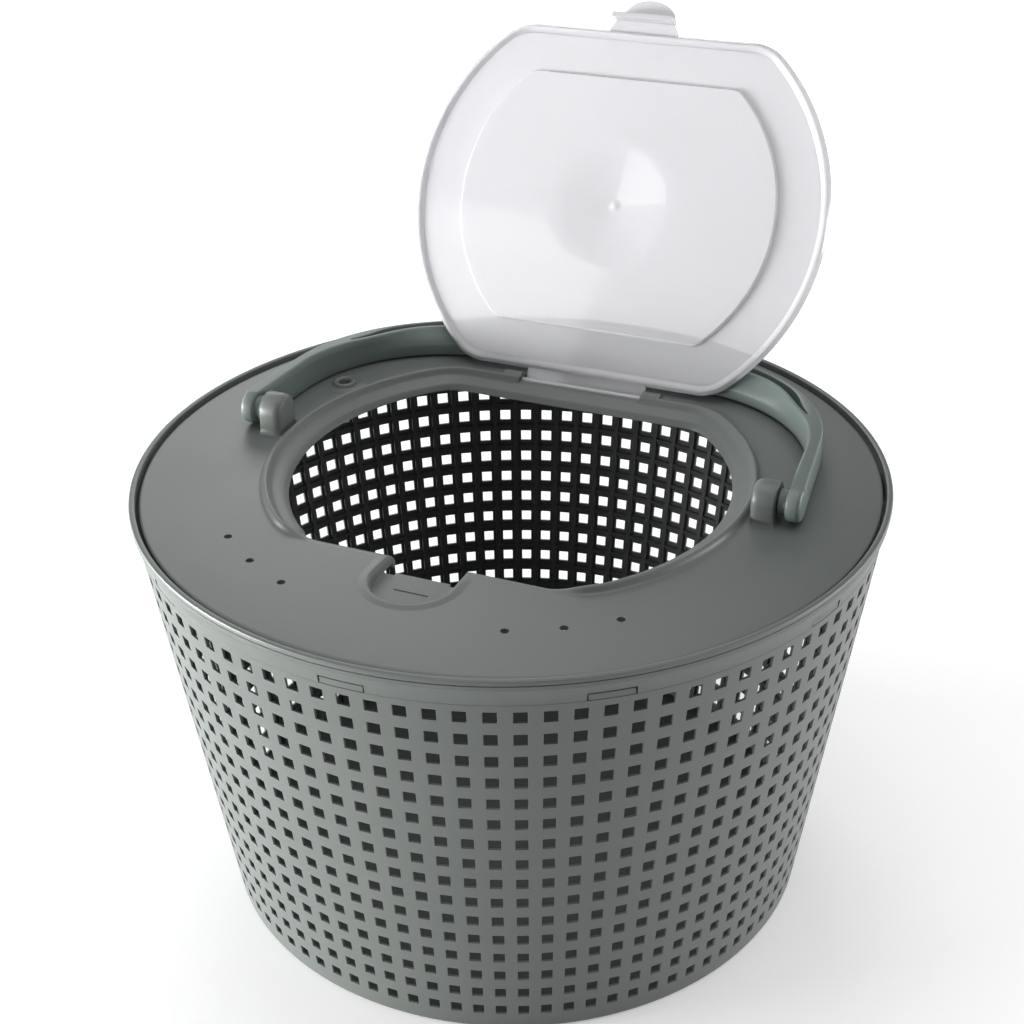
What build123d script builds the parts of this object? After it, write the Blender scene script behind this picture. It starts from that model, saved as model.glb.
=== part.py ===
from build123d import *
import os
from math import atan, cos, degrees, radians, sin, sqrt, tan

os.makedirs("parts", exist_ok=True)

# Aerated bait bucket: a tapered perforated basket, a snap-in cover with a neck, a carrying
# handle and a clear hatch. Millimetres, +Z up, origin at the middle of the floor's underside,
# front towards -Y. The hatch is drawn open and the handle lies back on the cover.

# ---- Basket ----
basket_height = 182.3
wall_foot_radius = 123.4
wall_top_radius = 149.4
wall_thickness = 1.6
floor_thickness = 2.0
foot_edge_chamfer = 2.5
rim_overhang = 0.8
rim_depth = 4.4
window_rows = 6
window_columns = 30
window_size = 14.6
top_row_drop = 23.9
bottom_row_height = 16.0

# ---- Snap tabs of the cover and their slots in the basket ----
snap_count = 10
snap_width = 17.0
snap_height = 3.0
snap_drop = 7.6
snap_side_clearance = 0.5
snap_top_clearance = 0.3
snap_base_clearance = 0.1

# ---- Cover ----
cover_drop = 1.7
cover_side_clearance = 2.0
cover_thickness = 2.0
finger_thickness = 1.5
finger_edge_margin = 0.6
vent_diameter = 3.2
vent_circle_radius = 117.3
vent_angles = (21.8, 31.8, 41.8)
port_x = -98.5
port_y = 46.9
port_bore = 5.5
port_diameter = 10.7
port_height = 2.0

# ---- Neck round the opening, measured at the foot of the bead ----
neck_radius = 94.6
neck_flat = 74.4
neck_corner_radius = 21.0
bead_height = 2.6
bead_inner_run = 2.2
bead_crest_width = 0.5
bead_outer_run = 1.6
seat_width = 4.6
seat_top_drop = 0.4
seat_drop = 2.0
collar_run = 1.8
collar_depth = 4.6
bead_fade_start = 46.0
bead_fade_end = 60.0
lip_roll_radius = 5.0
lip_reach = 0.1
lip_depth = 6.0

# ---- Finger recess and latch floor ----
recess_half_width = 16.0
recess_length = 29.5
recess_depth = 4.2
recess_roll_radius = 4.0
recess_roll_turns = (0, 30, 60, 90)
recess_wall = 2.0
latch_notch_width = 4.0
latch_notch_depth = 1.6
arrow_width = 14.0
arrow_length = 6.4
arrow_setback = 18.1
arrow_height = 0.4

# ---- Hatch hinge ----
pin_setback = 6.4
pin_drop = 1.2
pin_radius = 1.6
pin_running_clearance = 0.05
knuckle_inner_x = 28.0
knuckle_width = 8.0
knuckle_radius = 4.0
knuckle_mouth = 2.4
knuckle_mouth_angle = 45.0
hinge_side_clearance = 0.5
hinge_pocket_depth = 3.2
hinge_pocket_clearance = 0.7
hinge_pocket_wall = 1.6

# ---- Hatch ----
hatch_open_angle = 117.0
hatch_side_inset = 0.6
hatch_end_overlap = 0.6
hatch_corner_radius = 20.0
hatch_thickness = 1.3
hatch_lift = 3.8
hatch_rim_depth = 2.9
hatch_rim_run = 1.4
hatch_rim_width = 1.4
hatch_rim_draft = 1.2
tongue_web = 1.6
panel_side_inset = 22.0
panel_end_inset = 20.0
panel_corner_radius = 5.0
panel_depth = 2.0
panel_draft = 1.0
dimple_radius = 20.0
dimple_depth = 1.6
tab_root_width = 31.0
tab_neck_width = 26.0
tab_length = 13.7
tab_lip_width = 18.0
tab_lip_corner = 5.0
latch_rib_width = 27.0
latch_rib_thickness = 2.2
latch_rib_setback = 4.4
latch_rib_depth = 6.5
latch_clearance = 0.4

# ---- Handle ----
pivot_rise = 7.7
handle_height = 13.9
handle_outer_lean = 6.0
handle_outer_corner = 78.0
handle_hinge_gap = 16.2
handle_grip_outer_radius = 263.0
handle_side_gap = 1.9
handle_arm_width = 6.1
handle_inner_lean = 4.2
handle_inner_corner = 64.0
handle_grip_width = 18.0
handle_grip_inner_radius = 333.0
handle_inner_wall = 2.7
handle_outer_wall = 2.0
handle_floor = 2.5
handle_channel_start = 74.0
handle_face_lean = 6.3
handle_crease = 5.0
handle_fall_start = 40.0
handle_fall = 3.3

# ---- Handle pivots ----
lug_outer_x = 110.5
lug_width = 9.5
lug_radius = 7.7
boss_diameter = 10.3
boss_clearance = 0.3
trunnion_diameter = 7.0
trunnion_length = 7.0
trunnion_running_clearance = 0.05
trunnion_end_clearance = 0.5


def wall_radius(height):
    """Outer radius of the tapered wall at a height."""
    return wall_foot_radius + (wall_top_radius - wall_foot_radius) * height / basket_height


# ---- Basket ----
column_angle = 360 / window_columns
panel_half_width = wall_top_radius * tan(radians(column_angle / 2))
rim_radius = wall_top_radius + rim_overhang
rim_foot = basket_height - rim_depth
cover_top = basket_height - cover_drop
cover_base = cover_top - cover_thickness
snap_base_height = cover_base - snap_drop
top_row_height = rim_foot - top_row_drop
window_row_pitch = (top_row_height - bottom_row_height) / (window_rows - 1)
slot_depth = 4 * wall_thickness

with BuildPart() as wall_panel:
    # One flat facet of the wall with its slice of the floor, cut to its share of the ring
    with BuildSketch(Plane.YZ) as panel_section:
        with BuildLine():
            Polyline(
                (0, 0),
                (wall_foot_radius - foot_edge_chamfer, 0),
                (wall_radius(foot_edge_chamfer), foot_edge_chamfer),
                (wall_radius(rim_foot), rim_foot),
                (wall_radius(rim_foot) - wall_thickness, rim_foot),
                (wall_radius(floor_thickness) - wall_thickness, floor_thickness),
                (0, floor_thickness),
                close=True,
            )
        make_face()
    extrude(amount=panel_half_width, both=True)
    with BuildSketch() as panel_share:
        with BuildLine():
            Polyline(
                (0, 0),
                (panel_half_width, wall_top_radius),
                (-panel_half_width, wall_top_radius),
                close=True,
            )
        make_face()
    extrude(amount=rim_foot, mode=Mode.INTERSECT)
    with BuildSketch(Plane.XZ.offset(-wall_top_radius)) as panel_windows:
        for row in range(window_rows):
            with Locations((0, top_row_height - row * window_row_pitch)):
                Rectangle(window_size, window_size)
    extrude(amount=wall_top_radius - wall_foot_radius + slot_depth, mode=Mode.SUBTRACT)

with BuildPart() as basket:
    with PolarLocations(0, window_columns):
        add(wall_panel.part)

    # Round rim, and the snap slots below it
    with BuildSketch(Plane.XY.offset(rim_foot)) as rim_ring:
        Circle(rim_radius)
        Circle(wall_radius(rim_foot) - wall_thickness, mode=Mode.SUBTRACT)
    extrude(amount=rim_depth)
    with BuildSketch(Plane.XY.offset(snap_base_height - snap_base_clearance)) as snap_slots:
        with PolarLocations(wall_radius(snap_base_height), snap_count, start_angle=-90):
            Rectangle(slot_depth, snap_width + 2 * snap_side_clearance)
    extrude(
        amount=snap_height + snap_base_clearance + snap_top_clearance, mode=Mode.SUBTRACT
    )
basket.part.label = "basket"
export_step(basket.part, "parts/basket.step")


# ---- Cover ----
cover_radius = wall_radius(rim_foot) - wall_thickness - cover_side_clearance
finger_radius = cover_radius - finger_edge_margin
bead_crest = cover_top + bead_height
bead_foot = neck_flat + bead_inner_run + bead_crest_width + bead_outer_run
seat_top = cover_top - seat_top_drop
seat_base = cover_top - seat_drop
collar_foot = cover_top - collar_depth
bore_run = seat_width + collar_run
pin_y = neck_flat + pin_setback
pin_z = cover_top - pin_drop
hatch_radius = neck_radius - hatch_side_inset
hatch_flat = neck_flat + hatch_end_overlap
pivot_z = cover_top + pivot_rise
lip_y = -neck_flat - lip_reach
lip_root_y = lip_y - lip_roll_radius
lip_foot = cover_top - lip_depth
lip_corner = neck_corner_radius - bore_run
lip_half_width = sqrt(
    (neck_radius - neck_corner_radius) ** 2 - (-lip_y - lip_corner) ** 2
)
recess_floor = cover_top - recess_depth
recess_centre_y = lip_y - recess_length + recess_half_width
recess_lip = recess_half_width + recess_roll_radius
arrow_base_y = lip_y - arrow_setback
latch_rib_front = pin_y + hatch_flat + latch_rib_setback + latch_rib_thickness
latch_edge_y = pin_y - latch_rib_front - latch_clearance
pocket_floor = pin_z - hinge_pocket_depth
pocket_front_y = pin_y - pin_radius - hinge_pocket_clearance
pocket_back_y = pin_y + hatch_lift + tongue_web / 2 + hinge_pocket_clearance
knuckle_outer_x = knuckle_inner_x + knuckle_width
trunnion_bore_radius = trunnion_diameter / 2 + trunnion_running_clearance


def cut_circle(radius, front, back, corner):
    """A circle cut straight at the front and the back, with round corners."""
    with BuildSketch(mode=Mode.PRIVATE) as outline:
        Circle(radius)
        with Locations((0, (back - front) / 2)):
            Rectangle(2 * radius, front + back, mode=Mode.INTERSECT)
        fillet(outline.vertices(), radius=corner)
    return outline.sketch


with BuildPart() as cover:
    # Plate
    with BuildSketch(Plane.XY.offset(cover_base)) as plate:
        Circle(cover_radius)
    extrude(amount=cover_thickness)

    # Snap fingers below the edge, each with a nib that fills its slot in the basket
    with BuildSketch(Plane.XY.offset(snap_base_height)) as fingers:
        with PolarLocations(finger_radius - finger_thickness / 2, snap_count, start_angle=-90):
            Rectangle(finger_thickness, snap_width)
    extrude(amount=cover_base - snap_base_height)
    with BuildSketch(Plane.XY.offset(snap_base_height)) as nibs:
        with PolarLocations(
            (finger_radius + wall_radius(snap_base_height)) / 2, snap_count, start_angle=-90
        ):
            Rectangle(wall_radius(snap_base_height) - finger_radius, snap_width)
    extrude(amount=snap_height)

    # Opening through the plate, then the neck swept round it
    with BuildSketch(Plane.XY.offset(collar_foot)) as plate_opening:
        add(cut_circle(neck_radius, neck_flat, neck_flat, neck_corner_radius))
    extrude(amount=collar_depth + bead_height, mode=Mode.SUBTRACT)
    with BuildSketch(Plane.YZ) as neck_section:
        with BuildLine():
            Polyline(
                (neck_flat + bead_inner_run + bead_crest_width, bead_crest),
                (neck_flat + bead_inner_run, bead_crest),
                (neck_flat, seat_top),
                (neck_flat - seat_width, seat_base),
                (neck_flat - seat_width - collar_run, collar_foot),
                (neck_flat - seat_width, collar_foot),
                (neck_flat - seat_width + collar_run, seat_base - cover_thickness),
                (neck_flat + bead_inner_run, cover_base),
                (bead_foot, cover_base),
                (bead_foot, cover_top),
                close=True,
            )
        make_face()
    sweep(path=plate_opening.face().outer_wire())

    # Front of the opening: no seat, the bead fades out and the edge rolls down
    with BuildSketch(Plane.XY.offset(lip_foot)) as front_opening:
        add(cut_circle(neck_radius - bore_run, -lip_y, neck_flat - bore_run, lip_corner))
    extrude(amount=lip_depth + bead_height, mode=Mode.SUBTRACT)
    with BuildSketch(Plane.XZ.offset(-lip_y - neck_corner_radius)) as bead_fade:
        with BuildLine():
            Polyline(
                (-bead_fade_end, bead_crest),
                (-bead_fade_start, cover_top),
                (bead_fade_start, cover_top),
                (bead_fade_end, bead_crest),
                close=True,
            )
        make_face()
    extrude(amount=neck_radius, mode=Mode.SUBTRACT)
    with BuildSketch(Plane.YZ) as edge_trim:
        with Locations((lip_root_y, lip_foot)):
            Rectangle(2 * lip_roll_radius, lip_depth, align=(Align.MIN, Align.MIN))
    extrude(amount=lip_half_width, both=True, mode=Mode.SUBTRACT)
    with BuildSketch(Plane.YZ) as lip_section:
        with BuildLine():
            Line((lip_root_y, cover_base), (lip_root_y, cover_top))
            RadiusArc((lip_root_y, cover_top), (lip_y, cover_top - lip_roll_radius), lip_roll_radius)
            Polyline(
                (lip_y, cover_top - lip_roll_radius),
                (lip_y, lip_foot),
                (lip_y - cover_thickness, lip_foot),
                (lip_y - cover_thickness, cover_top - lip_roll_radius),
            )
            RadiusArc(
                (lip_y - cover_thickness, cover_top - lip_roll_radius),
                (lip_root_y, cover_base),
                cover_thickness - lip_roll_radius,
            )
        make_face()
    extrude(amount=lip_half_width, both=True)

    # Finger recess with rolled edges, open to the rear as far as the latch floor
    with BuildSketch(Plane.XY.offset(recess_floor - cover_thickness)) as recess_block:
        with Locations((0, recess_centre_y)):
            Circle(recess_half_width + recess_wall)
            Rectangle(
                2 * (recess_half_width + recess_wall),
                lip_y - recess_centre_y,
                align=(Align.CENTER, Align.MIN),
            )
    extrude(amount=recess_depth)
    recess_roll = [
        (
            recess_lip - recess_roll_radius * cos(radians(turn)),
            cover_top - recess_roll_radius * (1 - sin(radians(turn))),
        )
        for turn in recess_roll_turns
    ]
    with BuildSketch(Plane.XZ.offset(-recess_centre_y)) as recess_section:
        with BuildLine():
            Polyline(
                (0, cover_top),
                (0, recess_floor),
                (recess_half_width, recess_floor),
                *recess_roll,
                close=True,
            )
        make_face()
    revolve(axis=Axis((0, recess_centre_y, 0), (0, 0, 1)), mode=Mode.SUBTRACT)
    with BuildSketch(Plane.XZ.offset(-recess_centre_y)) as recess_run:
        add(recess_section.sketch.faces())
        mirror(about=Plane.YZ)
    extrude(amount=recess_centre_y - lip_y - lip_roll_radius, mode=Mode.SUBTRACT)
    with BuildSketch(Plane.XY.offset(lip_foot)) as latch_gap:
        with Locations((0, latch_edge_y)):
            Rectangle(
                2 * recess_half_width,
                lip_roll_radius - latch_edge_y + lip_y,
                align=(Align.CENTER, Align.MIN),
            )
        with Locations(
            (recess_half_width - latch_notch_width / 2, latch_edge_y),
            (latch_notch_width / 2 - recess_half_width, latch_edge_y),
        ):
            Rectangle(latch_notch_width, 2 * latch_notch_depth)
    extrude(amount=lip_depth, mode=Mode.SUBTRACT)
    with BuildSketch(Plane.XY.offset(recess_floor)) as arrow:
        with BuildLine():
            Polyline(
                (-arrow_width / 2, arrow_base_y),
                (arrow_width / 2, arrow_base_y),
                (0, arrow_base_y + arrow_length),
                close=True,
            )
        make_face()
    extrude(amount=arrow_height)

    # Hinge: a pocket for the hatch tongue, between two open barrels that hold its pin
    with BuildSketch(Plane.XY.offset(pocket_floor - hinge_pocket_wall)) as pocket_block:
        with Locations((0, pocket_front_y - hinge_pocket_wall)):
            Rectangle(
                2 * knuckle_outer_x,
                pocket_back_y - pocket_front_y + 2 * hinge_pocket_wall,
                align=(Align.CENTER, Align.MIN),
            )
    extrude(amount=cover_base - pocket_floor + hinge_pocket_wall)
    with BuildSketch(Plane.YZ) as knuckle_section:
        with Locations((pin_y, pin_z)):
            Circle(knuckle_radius)
            Rectangle(2 * knuckle_radius, pin_z - cover_base, align=(Align.CENTER, Align.MAX))
    extrude(amount=knuckle_outer_x, both=True)
    with BuildSketch(Plane.XY.offset(pocket_floor)) as hinge_pocket:
        with Locations((0, pocket_front_y)):
            Rectangle(
                2 * knuckle_inner_x,
                pocket_back_y - pocket_front_y,
                align=(Align.CENTER, Align.MIN),
            )
    extrude(amount=bead_crest - pocket_floor + knuckle_radius, mode=Mode.SUBTRACT)
    with BuildSketch(Plane.XY.offset(cover_top)) as bead_gap:
        with Locations((0, neck_flat)):
            Rectangle(
                2 * knuckle_inner_x, pocket_front_y - neck_flat, align=(Align.CENTER, Align.MIN)
            )
    extrude(amount=bead_height + knuckle_radius, mode=Mode.SUBTRACT)
    with BuildSketch(Plane.YZ) as pin_bore:
        with Locations((pin_y, pin_z)):
            Circle(pin_radius + pin_running_clearance)
            Rectangle(
                knuckle_radius + pin_radius,
                knuckle_mouth,
                rotation=knuckle_mouth_angle,
                align=(Align.MIN, Align.CENTER),
            )
    extrude(amount=knuckle_outer_x, both=True, mode=Mode.SUBTRACT)

    # Lugs that carry the handle
    with BuildSketch(Plane.YZ.offset(lug_outer_x - lug_width)) as lug_section:
        with Locations((0, pivot_z)):
            Circle(lug_radius)
            Rectangle(2 * lug_radius, pivot_z - cover_base, align=(Align.CENTER, Align.MAX))
    lug = extrude(amount=lug_width)
    mirror(lug, about=Plane.YZ)
    with BuildSketch(Plane.YZ.offset(lug_outer_x)) as trunnion_bore:
        with Locations((0, pivot_z)):
            Circle(trunnion_bore_radius)
    bore = extrude(amount=-trunnion_length - trunnion_end_clearance, mode=Mode.SUBTRACT)
    mirror(bore, about=Plane.YZ, mode=Mode.SUBTRACT)

    # Air vents in two rows of three, and the air port
    vent_places = [
        (
            side * vent_circle_radius * sin(radians(angle)),
            -vent_circle_radius * cos(radians(angle)),
        )
        for side in (-1, 1)
        for angle in vent_angles
    ]
    with BuildSketch(Plane.XY.offset(cover_base)) as vents:
        with Locations(*vent_places):
            Circle(vent_diameter / 2)
    extrude(amount=cover_thickness, mode=Mode.SUBTRACT)
    with BuildSketch(Plane.XY.offset(cover_top)) as port_ring:
        with Locations((port_x, port_y)):
            Circle(port_diameter / 2)
    extrude(amount=port_height)
    with BuildSketch(Plane.XY.offset(cover_base)) as port_hole:
        with Locations((port_x, port_y)):
            Circle(port_bore / 2)
    extrude(amount=cover_thickness + port_height, mode=Mode.SUBTRACT)
cover.part.label = "cover"
export_step(cover.part, "parts/cover.step")


# ---- Hatch ----
# Drawn in its own plane, which has its origin on the pin, +Y along the hatch away from the
# pin and +Z out of its underside.
hatch_plane = Plane(
    origin=(0, pin_y, pin_z),
    x_dir=(1, 0, 0),
    z_dir=(0, -sin(radians(hatch_open_angle)), -cos(radians(hatch_open_angle))),
)
hatch_top = -hatch_lift
hatch_underside = hatch_top + hatch_thickness
rim_edge = hatch_top + hatch_rim_depth
rim_taper = degrees(atan(hatch_rim_run / hatch_rim_depth))
rim_draft = degrees(atan(hatch_rim_draft / (hatch_rim_depth - hatch_thickness)))
panel_radius = hatch_radius - panel_side_inset
panel_flat = hatch_flat - panel_end_inset
panel_taper = degrees(atan(panel_draft / panel_depth))
cavity_inset = hatch_rim_run + hatch_rim_width
tongue_half_width = knuckle_inner_x - hinge_side_clearance
pin_half_length = knuckle_outer_x - hinge_side_clearance
tab_root = pin_y + hatch_flat
rib_back = tab_root + latch_rib_setback
tab_tip = tab_root + tab_length
panel_top = hatch_top + panel_depth

with BuildPart() as hatch:
    # Shallow tray: a plate with a sloping rim
    with BuildSketch(hatch_plane.offset(hatch_top)) as tray_outline:
        with Locations((0, pin_y)):
            add(cut_circle(hatch_radius, hatch_flat, hatch_flat, hatch_corner_radius))
    extrude(amount=hatch_rim_depth, taper=rim_taper)
    with BuildSketch(hatch_plane.offset(rim_edge)) as tray_cavity:
        with Locations((0, pin_y)):
            add(
                cut_circle(
                    hatch_radius - cavity_inset,
                    hatch_flat - cavity_inset,
                    hatch_flat - cavity_inset,
                    hatch_corner_radius - cavity_inset,
                )
            )
    extrude(amount=hatch_thickness - hatch_rim_depth, taper=rim_draft, mode=Mode.SUBTRACT)

    # Inner panel, sunk from above, and the dimple in the middle of it
    with BuildSketch(hatch_plane.offset(hatch_underside)) as panel_outline:
        with Locations((0, pin_y)):
            add(cut_circle(panel_radius, panel_flat, panel_flat, panel_corner_radius))
    extrude(amount=panel_depth, taper=panel_taper)
    with BuildSketch(hatch_plane.offset(hatch_top)) as panel_sink:
        with Locations((0, pin_y)):
            add(
                cut_circle(
                    panel_radius - hatch_thickness,
                    panel_flat - hatch_thickness,
                    panel_flat - hatch_thickness,
                    panel_corner_radius,
                )
            )
    extrude(amount=panel_depth, taper=panel_taper, mode=Mode.SUBTRACT)

    with BuildSketch(hatch_plane.offset(panel_top)) as dimple_shell:
        with Locations((0, pin_y)):
            Circle(dimple_radius + hatch_thickness)
    extrude(amount=dimple_depth + hatch_thickness)
    with BuildSketch(hatch_plane.offset(panel_top)) as dimple_dish:
        with Locations((0, pin_y)):
            Circle(dimple_radius)
    extrude(amount=dimple_depth, mode=Mode.SUBTRACT)

    # Pin, web and tongue of the hinge
    with BuildSketch(hatch_plane.offset(hatch_top)) as tongue:
        with Locations((0, -tongue_web / 2)):
            Rectangle(
                2 * tongue_half_width,
                pin_y - hatch_flat + hatch_rim_run + tongue_web,
                align=(Align.CENTER, Align.MIN),
            )
    extrude(amount=hatch_thickness)
    with BuildSketch(hatch_plane.offset(hatch_top)) as web:
        Rectangle(2 * tongue_half_width, tongue_web)
    extrude(amount=hatch_lift)
    with BuildSketch(Plane.YZ) as pin_section:
        with Locations((pin_y, pin_z)):
            Circle(pin_radius)
    extrude(amount=pin_half_length, both=True)

    # Finger tab with the latch rib across its root
    with BuildSketch(hatch_plane.offset(hatch_top)) as tab:
        with BuildLine():
            Polyline(
                (-tab_root_width / 2, tab_root - hatch_thickness),
                (tab_root_width / 2, tab_root - hatch_thickness),
                (tab_root_width / 2, tab_root),
                (tab_neck_width / 2, rib_back),
                (latch_rib_width / 2, rib_back),
                (latch_rib_width / 2, rib_back + latch_rib_thickness),
                (tab_lip_width / 2, rib_back + latch_rib_thickness),
                (tab_lip_width / 2, tab_tip),
                (-tab_lip_width / 2, tab_tip),
                (-tab_lip_width / 2, rib_back + latch_rib_thickness),
                (-latch_rib_width / 2, rib_back + latch_rib_thickness),
                (-latch_rib_width / 2, rib_back),
                (-tab_neck_width / 2, rib_back),
                (-tab_root_width / 2, tab_root),
                close=True,
            )
        make_face()
        fillet(tab.vertices().group_by(Axis.Y)[-1], radius=tab_lip_corner)
    extrude(amount=hatch_thickness)
    with BuildSketch(hatch_plane.offset(hatch_underside)) as latch_rib:
        with Locations((0, rib_back)):
            Rectangle(latch_rib_width, latch_rib_thickness, align=(Align.CENTER, Align.MIN))
    extrude(amount=latch_rib_depth)
hatch.part.label = "hatch"
export_step(hatch.part, "parts/hatch.step")


# ---- Handle ----
handle_base = pivot_z - handle_height / 2
handle_top = pivot_z + handle_height / 2
face_crease_height = handle_base + handle_crease
handle_inner_x = lug_outer_x + handle_side_gap
handle_outer_x = handle_inner_x + handle_arm_width
handle_inner_reach = pin_y + handle_hinge_gap
handle_outer_reach = handle_inner_reach + handle_grip_width
boss_length = handle_side_gap - boss_clearance


def handle_outline(half_width, lean, reach, grip_radius, corner):
    """The area inside a bow with leaning arms and a curved grip."""
    grip_half_width = half_width - reach * tan(radians(lean))
    with BuildSketch(mode=Mode.PRIVATE) as outline:
        with BuildLine():
            Polyline(
                (-half_width, 0),
                (half_width, 0),
                (grip_half_width, reach),
                (-grip_half_width, reach),
                close=True,
            )
        make_face()
        with Locations((0, reach - grip_radius)):
            Circle(grip_radius, mode=Mode.INTERSECT)
        fillet(outline.vertices().group_by(Axis.Y)[-1], radius=corner)
    return outline.sketch


outer_bow = handle_outline(
    handle_outer_x,
    handle_outer_lean,
    handle_outer_reach,
    handle_grip_outer_radius,
    handle_outer_corner,
)
inner_bow = handle_outline(
    handle_inner_x,
    handle_inner_lean,
    handle_inner_reach,
    handle_grip_inner_radius,
    handle_inner_corner,
)

with BuildPart() as handle:
    with BuildSketch(Plane.XY.offset(handle_base)) as bow:
        add(outer_bow)
        add(inner_bow, mode=Mode.SUBTRACT)
    extrude(amount=handle_height)

    # The inner face of the grip leans back above its crease
    with BuildSketch(Plane.XY.offset(face_crease_height)) as hand_gap:
        add(inner_bow)
    extrude(
        amount=sqrt((handle_height - handle_crease) ** 2 + handle_face_lean**2),
        dir=(0, handle_face_lean, handle_height - handle_crease),
        mode=Mode.SUBTRACT,
    )

    # The top falls slightly towards the grip
    with BuildSketch(Plane.YZ) as top_fall:
        with BuildLine():
            Polyline(
                (handle_fall_start, handle_top),
                (handle_outer_reach, handle_top),
                (handle_outer_reach, handle_top - handle_fall),
                close=True,
            )
        make_face()
    extrude(amount=handle_outer_x, both=True, mode=Mode.SUBTRACT)

    # Channel, open above, between the two walls
    with BuildSketch(Plane.XY.offset(handle_base + handle_floor)) as channel:
        add(outer_bow)
        offset(amount=-handle_outer_wall, mode=Mode.REPLACE)
        with Locations((0, handle_face_lean + handle_inner_wall)):
            add(inner_bow, mode=Mode.SUBTRACT)
        with Locations((0, handle_channel_start)):
            Rectangle(
                2 * handle_outer_x,
                handle_outer_reach,
                align=(Align.CENTER, Align.MIN),
                mode=Mode.INTERSECT,
            )
    extrude(amount=handle_height - handle_floor, mode=Mode.SUBTRACT)

    # Round ends with the bosses and trunnions that turn in the lugs
    with BuildSketch(Plane.YZ.offset(handle_inner_x)) as end_disc:
        with Locations((0, pivot_z)):
            Circle(handle_height / 2)
    disc = extrude(amount=handle_outer_x - handle_inner_x)
    with BuildSketch(Plane.YZ.offset(handle_inner_x)) as boss_section:
        with Locations((0, pivot_z)):
            Circle(boss_diameter / 2)
    boss = extrude(amount=-boss_length)
    with BuildSketch(Plane.YZ.offset(handle_inner_x)) as trunnion_section:
        with Locations((0, pivot_z)):
            Circle(trunnion_diameter / 2)
    trunnion = extrude(amount=lug_outer_x - handle_inner_x - trunnion_length)
    mirror(disc, about=Plane.YZ)
    mirror(boss, about=Plane.YZ)
    mirror(trunnion, about=Plane.YZ)
handle.part.label = "handle"
export_step(handle.part, "parts/handle.step")
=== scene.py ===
import math
import bmesh
import bpy
from mathutils import Matrix, Vector


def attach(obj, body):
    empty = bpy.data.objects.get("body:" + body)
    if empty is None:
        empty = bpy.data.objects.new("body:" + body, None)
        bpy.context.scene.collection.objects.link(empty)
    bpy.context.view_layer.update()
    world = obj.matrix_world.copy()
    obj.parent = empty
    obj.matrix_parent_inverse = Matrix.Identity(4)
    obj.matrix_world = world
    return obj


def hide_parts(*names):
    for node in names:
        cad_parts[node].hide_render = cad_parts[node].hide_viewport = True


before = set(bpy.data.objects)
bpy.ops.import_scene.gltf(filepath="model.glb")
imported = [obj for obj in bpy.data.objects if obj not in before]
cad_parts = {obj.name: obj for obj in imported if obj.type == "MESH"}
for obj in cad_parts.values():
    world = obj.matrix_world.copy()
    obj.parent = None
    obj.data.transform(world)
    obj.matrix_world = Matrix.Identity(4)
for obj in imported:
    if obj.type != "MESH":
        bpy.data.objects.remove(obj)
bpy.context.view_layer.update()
mm = 0.001
print("frame loaded:", ", ".join(sorted(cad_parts)))


def linear(hexText, alpha=1.0):
    # sRGB hex to scene linear
    parts = [int(hexText[i:i + 2], 16) / 255 for i in (1, 3, 5)]
    return tuple(c / 12.92 if c <= 0.04045 else ((c + 0.055) / 1.055) ** 2.4 for c in parts) + (alpha,)


def addNode(tree, kind, settings=None, links=None):
    # settings: node attributes or input values; links: input name -> (node, output name)
    node = tree.nodes.new(kind)
    for name, value in (settings or {}).items():
        if name in node.inputs:
            node.inputs[name].default_value = value
        else:
            setattr(node, name, value)
    for name, (source, output) in (links or {}).items():
        tree.links.new(source.outputs[output], node.inputs[name])
    return node


def newMesh(name, verts, faces):
    # verts in millimetres
    data = bpy.data.meshes.new(name)
    data.from_pydata([(x * mm, y * mm, z * mm) for x, y, z in verts], [], faces)
    return data


def newObject(name, data):
    made = bpy.data.objects.new(name, data)
    bpy.context.scene.collection.objects.link(made)
    return made


def meshPiece(name, verts, faces, material, body, slotName):
    data = newMesh(name, verts, faces)
    data.validate()
    work = bmesh.new()
    work.from_mesh(data)
    bmesh.ops.remove_doubles(work, verts=work.verts, dist=1e-6)
    bmesh.ops.recalc_face_normals(work, faces=work.faces)
    work.to_mesh(data)
    work.free()
    piece = newObject(name, data)
    data.materials.append(material)
    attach(piece, body)
    return piece


def softenEdges(piece, width, sharpAngle=40, segments=2):
    # moulded edges: a small round on every edge sharper than sharpAngle
    for face in piece.data.polygons:
        face.use_smooth = True
    bevel = piece.modifiers.new("edgeRound", "BEVEL")
    bevel.width = width * mm
    bevel.segments = segments
    bevel.limit_method = "ANGLE"
    bevel.angle_limit = math.radians(sharpAngle)
    bevel.harden_normals = True
    bevel.use_clamp_overlap = True
    return piece


def shadeByAngle(piece, angle):
    work = bmesh.new()
    work.from_mesh(piece.data)
    for face in work.faces:
        face.smooth = True
    for edge in work.edges:
        edge.smooth = not (len(edge.link_faces) == 2 and edge.calc_face_angle(0) > math.radians(angle))
    work.to_mesh(piece.data)
    work.free()


def smoothStep(value, low, high):
    t = min(1.0, max(0.0, (value - low) / (high - low)))
    return t * t * (3 - 2 * t)


def mix(a, b, t):
    return a + (b - a) * t


def prismFaces(count):
    # ends and sides between two outlines of count points
    faces = [tuple(range(count))[::-1], tuple(range(count, 2 * count))]
    return faces + [(i, (i + 1) % count, count + (i + 1) % count, count + i) for i in range(count)]


def gridFaces(rows, columns, closeRows=False, closeColumns=False):
    # quads between point rows that were stored one row after another
    faces = []
    for i in range(rows if closeRows else rows - 1):
        for j in range(columns if closeColumns else columns - 1):
            a, b = i * columns + j, i * columns + (j + 1) % columns
            c, d = ((i + 1) % rows) * columns + (j + 1) % columns, ((i + 1) % rows) * columns + j
            faces.append((a, b, c, d))
    return faces


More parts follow.
